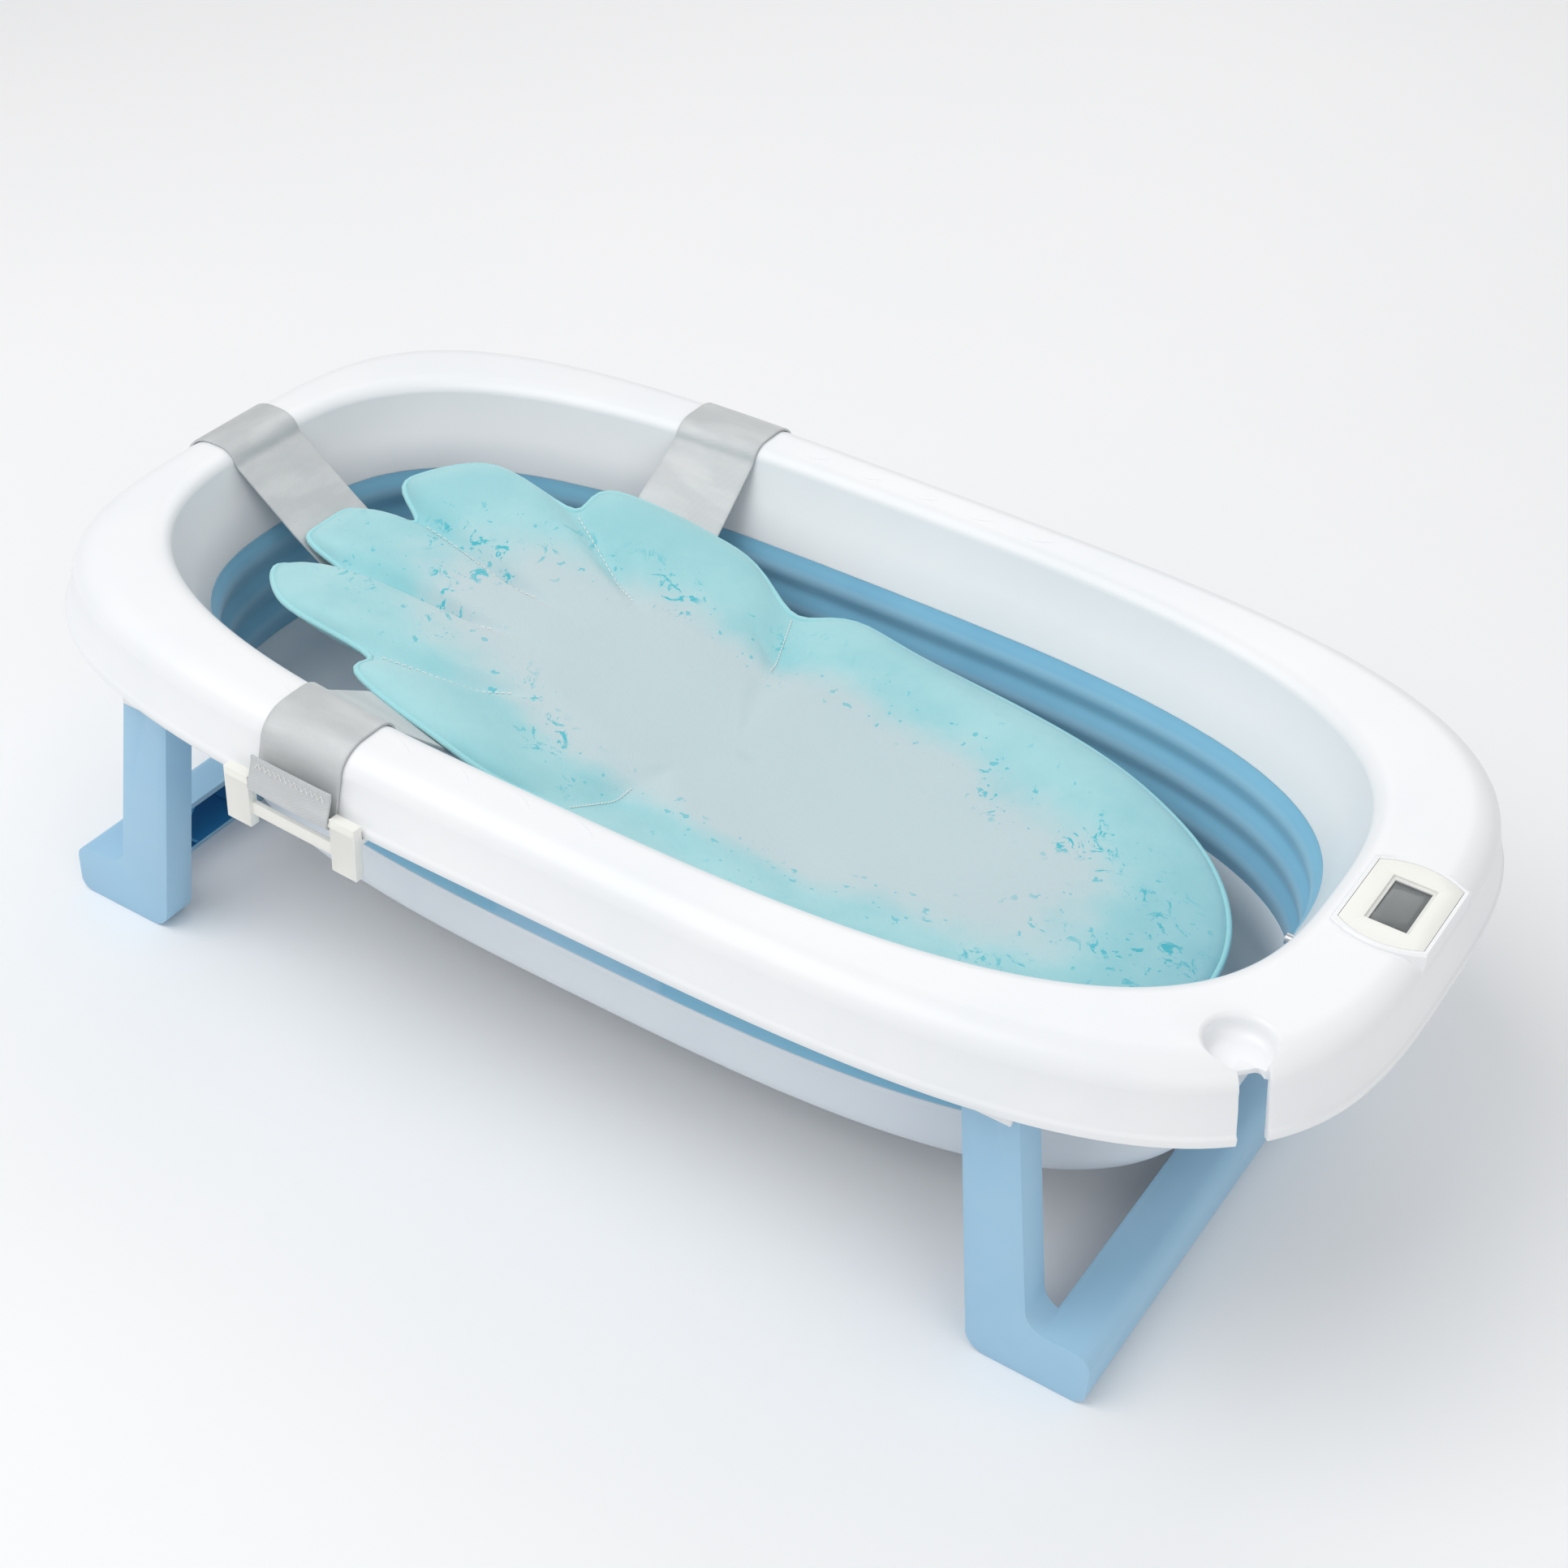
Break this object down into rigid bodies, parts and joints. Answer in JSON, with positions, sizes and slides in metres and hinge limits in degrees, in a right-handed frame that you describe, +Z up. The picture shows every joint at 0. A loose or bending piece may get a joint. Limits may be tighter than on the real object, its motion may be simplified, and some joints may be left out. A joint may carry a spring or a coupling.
{
  "type": "baby bathtub",
  "caption": "Collapsible baby bathtub on folding leg frames, with an elastomer folding wall, a thermometer in the rim and a strapped bath cushion.",
  "frame": {"origin": "on the floor under the middle of the open tub", "axes": "+X towards the thermometer end, +Y across to the far side, +Z up"},
  "size_m": [0.8292, 0.4632, 0.222],
  "materials": {
    "white_plastic": "satin moulded polypropylene",
    "tray_plastic": "satin moulded polypropylene, cooler white",
    "leg_plastic": "light blue moulded polypropylene",
    "blue_elastomer": "matte blue thermoplastic elastomer",
    "ivory_plastic": "satin ivory",
    "grey_rubber": "soft grey seal",
    "clear_lens": "clear moulded window",
    "display": "dark grey liquid crystal panel",
    "board": "green circuit board",
    "steel": "plain stainless steel",
    "strap_webbing": "satin silver-grey webbing",
    "cushion_fabric": "light teal printed fabric over soft filling"
  },
  "bodies": {
    "rim": {"rim_shell": "white_plastic", "folding_wall": "blue_elastomer", "thermometer_faceplate": "ivory_plastic", "thermometer_housing": "white_plastic", "thermometer_seal": "grey_rubber", "display_lens": "clear_lens", "liquid_crystal_display": "display", "circuit_board": "board", "battery_contact": "steel", "coin_cell": "steel", "battery_cover": "white_plastic", "temperature_probe": "steel", "bath_cushion": "cushion_fabric", "foot_near_hinge_bracket": "white_plastic", "foot_near_hinge_pin": "steel", "foot_far_hinge_bracket": "white_plastic", "foot_far_hinge_pin": "steel", "head_near_hinge_bracket": "white_plastic", "head_near_hinge_pin": "steel", "head_far_hinge_bracket": "white_plastic", "head_far_hinge_pin": "steel", "housing_screw_1": "steel", "housing_screw_2": "steel", "housing_screw_3": "steel", "housing_screw_4": "steel", "near_strap": "strap_webbing", "near_strap_clip": "ivory_plastic", "far_strap": "strap_webbing", "far_strap_clip": "ivory_plastic", "head_strap": "strap_webbing", "head_strap_clip": "ivory_plastic"},
    "base": {"base_tray": "tray_plastic", "drain_seal": "grey_rubber"},
    "plug": {"drain_plug": "white_plastic"},
    "foot_leg": {"foot_leg_frame": "leg_plastic"},
    "head_leg": {"head_leg_frame": "leg_plastic"}
  },
  "joints": [
    {"name": "base_collapse", "type": "slide", "parent": "rim", "child": "base", "axis": [0, 0, 1], "range_m": [0, 0.092], "deforming": ["folding_wall", "bath_cushion"]},
    {"name": "foot_leg_fold", "type": "hinge", "parent": "rim", "child": "foot_leg", "pos_m": [0.25862, 0, 0.181], "axis": [0, 1, 0], "range_deg": [0, 90]},
    {"name": "head_leg_fold", "type": "hinge", "parent": "rim", "child": "head_leg", "pos_m": [-0.27537, 0, 0.181], "axis": [0, -1, 0], "range_deg": [0, 90]},
    {"name": "drain_plug_lift", "type": "slide", "parent": "base", "child": "plug", "axis": [0, 0, 1], "range_m": [0, 0.012]}
  ],
  "couplings": [
    {"joint": "foot_leg_fold", "follows": "base_collapse", "rad_per_m": 17.07},
    {"joint": "head_leg_fold", "follows": "base_collapse", "rad_per_m": 17.07}
  ]
}
